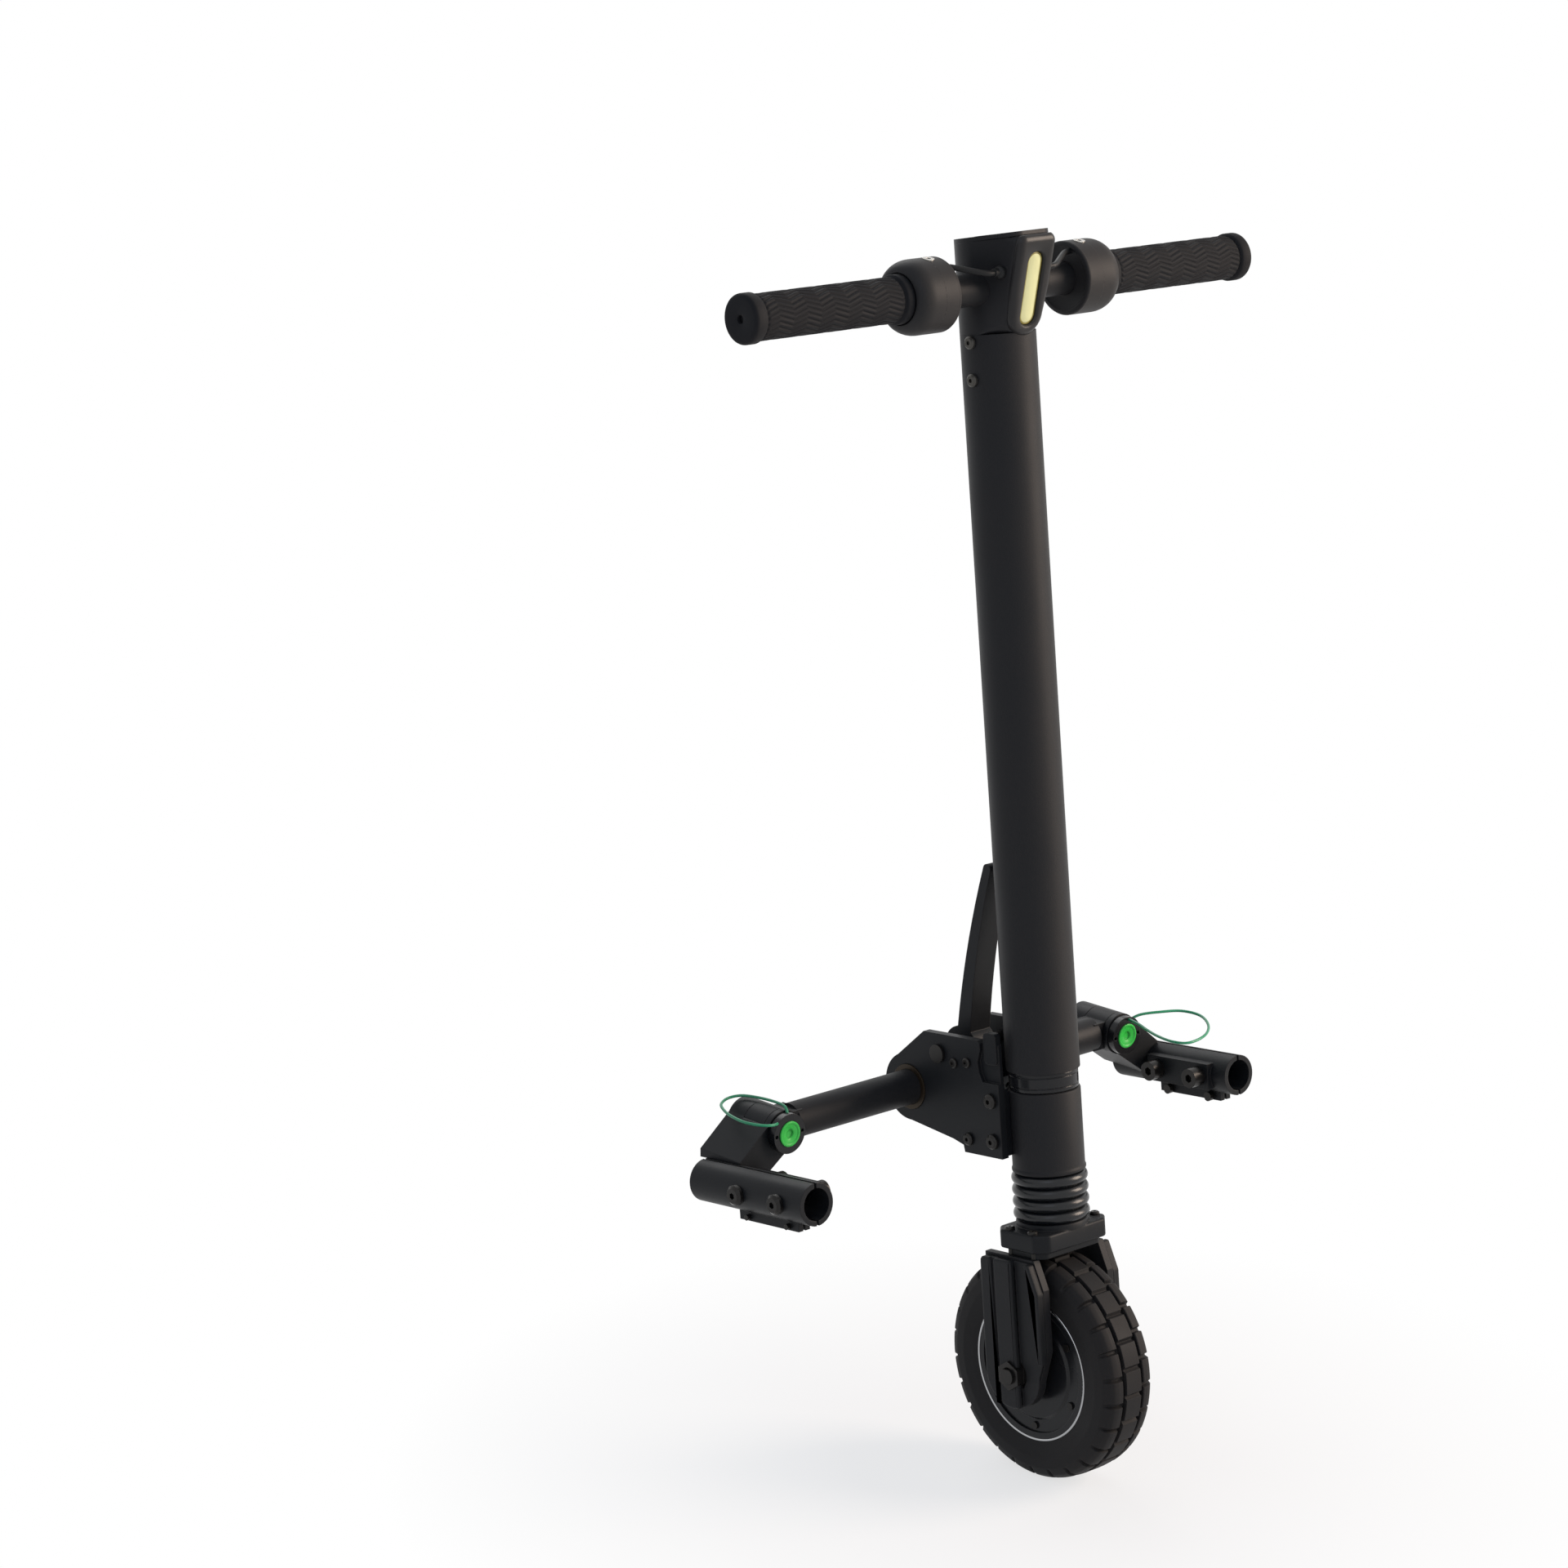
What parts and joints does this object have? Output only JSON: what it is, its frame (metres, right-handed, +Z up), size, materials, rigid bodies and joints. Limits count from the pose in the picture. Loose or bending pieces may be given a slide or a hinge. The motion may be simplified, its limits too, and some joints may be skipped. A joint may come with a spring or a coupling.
{
  "type": "wheelchair power assist",
  "caption": "Front-wheel power assist for a manual wheelchair: hub-motor wheel on a sprung fork, battery column with handlebar and lamp, tilting bracket on a crossbar with rail clamps",
  "frame": {"origin": "bottom centre of the bounding box, on the floor under the unit", "axes": "+X to the rider's left, -Y forward (the way it drives), +Z up"},
  "size_m": [0.46, 0.2192, 0.8632],
  "materials": {
    "tyre_rubber": "matte",
    "soft_rubber": "satin",
    "black_alloy": "matte",
    "satin_alloy": "satin",
    "black_plastic": "matte",
    "steel": "bright",
    "black_steel": "satin",
    "lamination": "matte",
    "copper": "lacquered",
    "bush_bronze": "satin",
    "cell": "gloss",
    "board": "matte",
    "lens": "frosted",
    "window": "gloss",
    "green_plastic": "satin",
    "grey_plastic": "satin"
  },
  "bodies": {
    "chair_mount": {"crossbar": "black_alloy", "adapter_lugs": "black_alloy", "inner_jaws": "black_alloy", "outer_jaws": "black_alloy", "clamp_bolts": "black_steel"},
    "tilt_frame": {"head_tube": "black_alloy", "steering_bearings": "steel", "side_plates": "black_alloy", "bracket_blocks": "satin_alloy", "bracket_screws": "black_steel", "pivot_bushes": "bush_bronze", "lever_pin": "steel"},
    "lock_lever": {"lock_lever": "black_alloy"},
    "steering": {"steerer_tube": "steel", "collar_ring": "satin_alloy", "bellows": "soft_rubber", "suspension_spring": "steel", "column_base": "satin_alloy", "column_tube": "black_alloy", "battery_cells": "cell", "battery_spacers": "grey_plastic", "controller_board": "board", "bar_stem": "satin_alloy", "column_screws": "steel", "head_housing": "black_plastic", "lamp_bezel": "black_plastic", "lamp_lens": "lens", "lamp_board": "board", "dash_lid": "black_plastic", "dash_window": "window", "handlebar": "black_alloy", "grips": "soft_rubber", "control_housings": "black_plastic", "control_screws": "steel", "control_leads": "soft_rubber"},
    "power_button": {"power_button": "grey_plastic"},
    "throttle_paddle": {"throttle_paddle": "black_plastic"},
    "brake_paddle": {"brake_paddle": "black_plastic"},
    "fork": {"axle": "steel", "axle_spacers": "steel", "axle_nuts": "black_steel", "stator": "lamination", "stator_windings": "copper", "fork_legs": "black_alloy", "leg_covers": "black_plastic", "fork_crown": "black_alloy", "fork_bolts": "black_steel", "slider_tube": "steel"},
    "wheel": {"tyre": "tyre_rubber", "hub_shell": "satin_alloy", "hub_covers": "satin_alloy", "hub_cover_screws": "steel", "rotor_magnets": "steel", "hub_bearings": "steel"},
    "right_pin": {"right_pin": "satin_alloy", "right_pull_loop": "green_plastic"},
    "left_pin": {"left_pin": "satin_alloy", "left_pull_loop": "green_plastic"},
    "right_pin_button": {"right_pin_button": "green_plastic"},
    "left_pin_button": {"left_pin_button": "green_plastic"}
  },
  "joints": [
    {"name": "tilt", "type": "hinge", "parent": "chair_mount", "child": "tilt_frame", "pos_m": [0, 0.08125, 0.261], "axis": [-1, 0, 0], "range_deg": [0, 30]},
    {"name": "lock_swing", "type": "hinge", "parent": "tilt_frame", "child": "lock_lever", "pos_m": [0, 0.05235, 0.29219], "axis": [-1, 0, 0], "range_deg": [0, 50]},
    {"name": "steer", "type": "hinge", "parent": "tilt_frame", "child": "steering", "pos_m": [0, -0.03819, 0.08105], "axis": [0, 0.1045, 0.9945], "range_deg": [-45, 45]},
    {"name": "suspension", "type": "slide", "parent": "steering", "child": "fork", "axis": [0, 0.1045, 0.9945], "range_m": [0, 0.022], "stiffness_N_per_m": 8000, "springref_m": -0.006, "deforming": ["bellows", "suspension_spring"]},
    {"name": "wheel_spin", "type": "hinge", "parent": "fork", "child": "wheel", "pos_m": [0, -0.02825, 0.08], "axis": [1, 0, 0], "continuous": true},
    {"name": "throttle_press", "type": "hinge", "parent": "steering", "child": "throttle_paddle", "pos_m": [0, 0.03475, 0.82288], "axis": [-1, 0, 0], "range_deg": [0, 25], "stiffness_Nm_per_rad": 0.15, "springref_deg": -11.46},
    {"name": "brake_press", "type": "hinge", "parent": "steering", "child": "brake_paddle", "pos_m": [0, 0.03475, 0.82288], "axis": [-1, 0, 0], "range_deg": [0, 25], "stiffness_Nm_per_rad": 0.15, "springref_deg": -11.46},
    {"name": "power_press", "type": "slide", "parent": "steering", "child": "power_button", "axis": [0, -0.1822, -0.9833], "range_m": [0, 0.001], "stiffness_N_per_m": 800, "springref_m": -0.001},
    {"name": "right_pin_pull", "type": "slide", "parent": "chair_mount", "child": "right_pin", "axis": [0, -1, 0], "range_m": [0, 0.045]},
    {"name": "left_pin_pull", "type": "slide", "parent": "chair_mount", "child": "left_pin", "axis": [0, -1, 0], "range_m": [0, 0.045]},
    {"name": "right_pin_press", "type": "slide", "parent": "right_pin", "child": "right_pin_button", "axis": [0, 1, 0], "range_m": [0, 0.0025], "stiffness_N_per_m": 800, "springref_m": -0.001},
    {"name": "left_pin_press", "type": "slide", "parent": "left_pin", "child": "left_pin_button", "axis": [0, 1, 0], "range_m": [0, 0.0025], "stiffness_N_per_m": 800, "springref_m": -0.001}
  ]
}
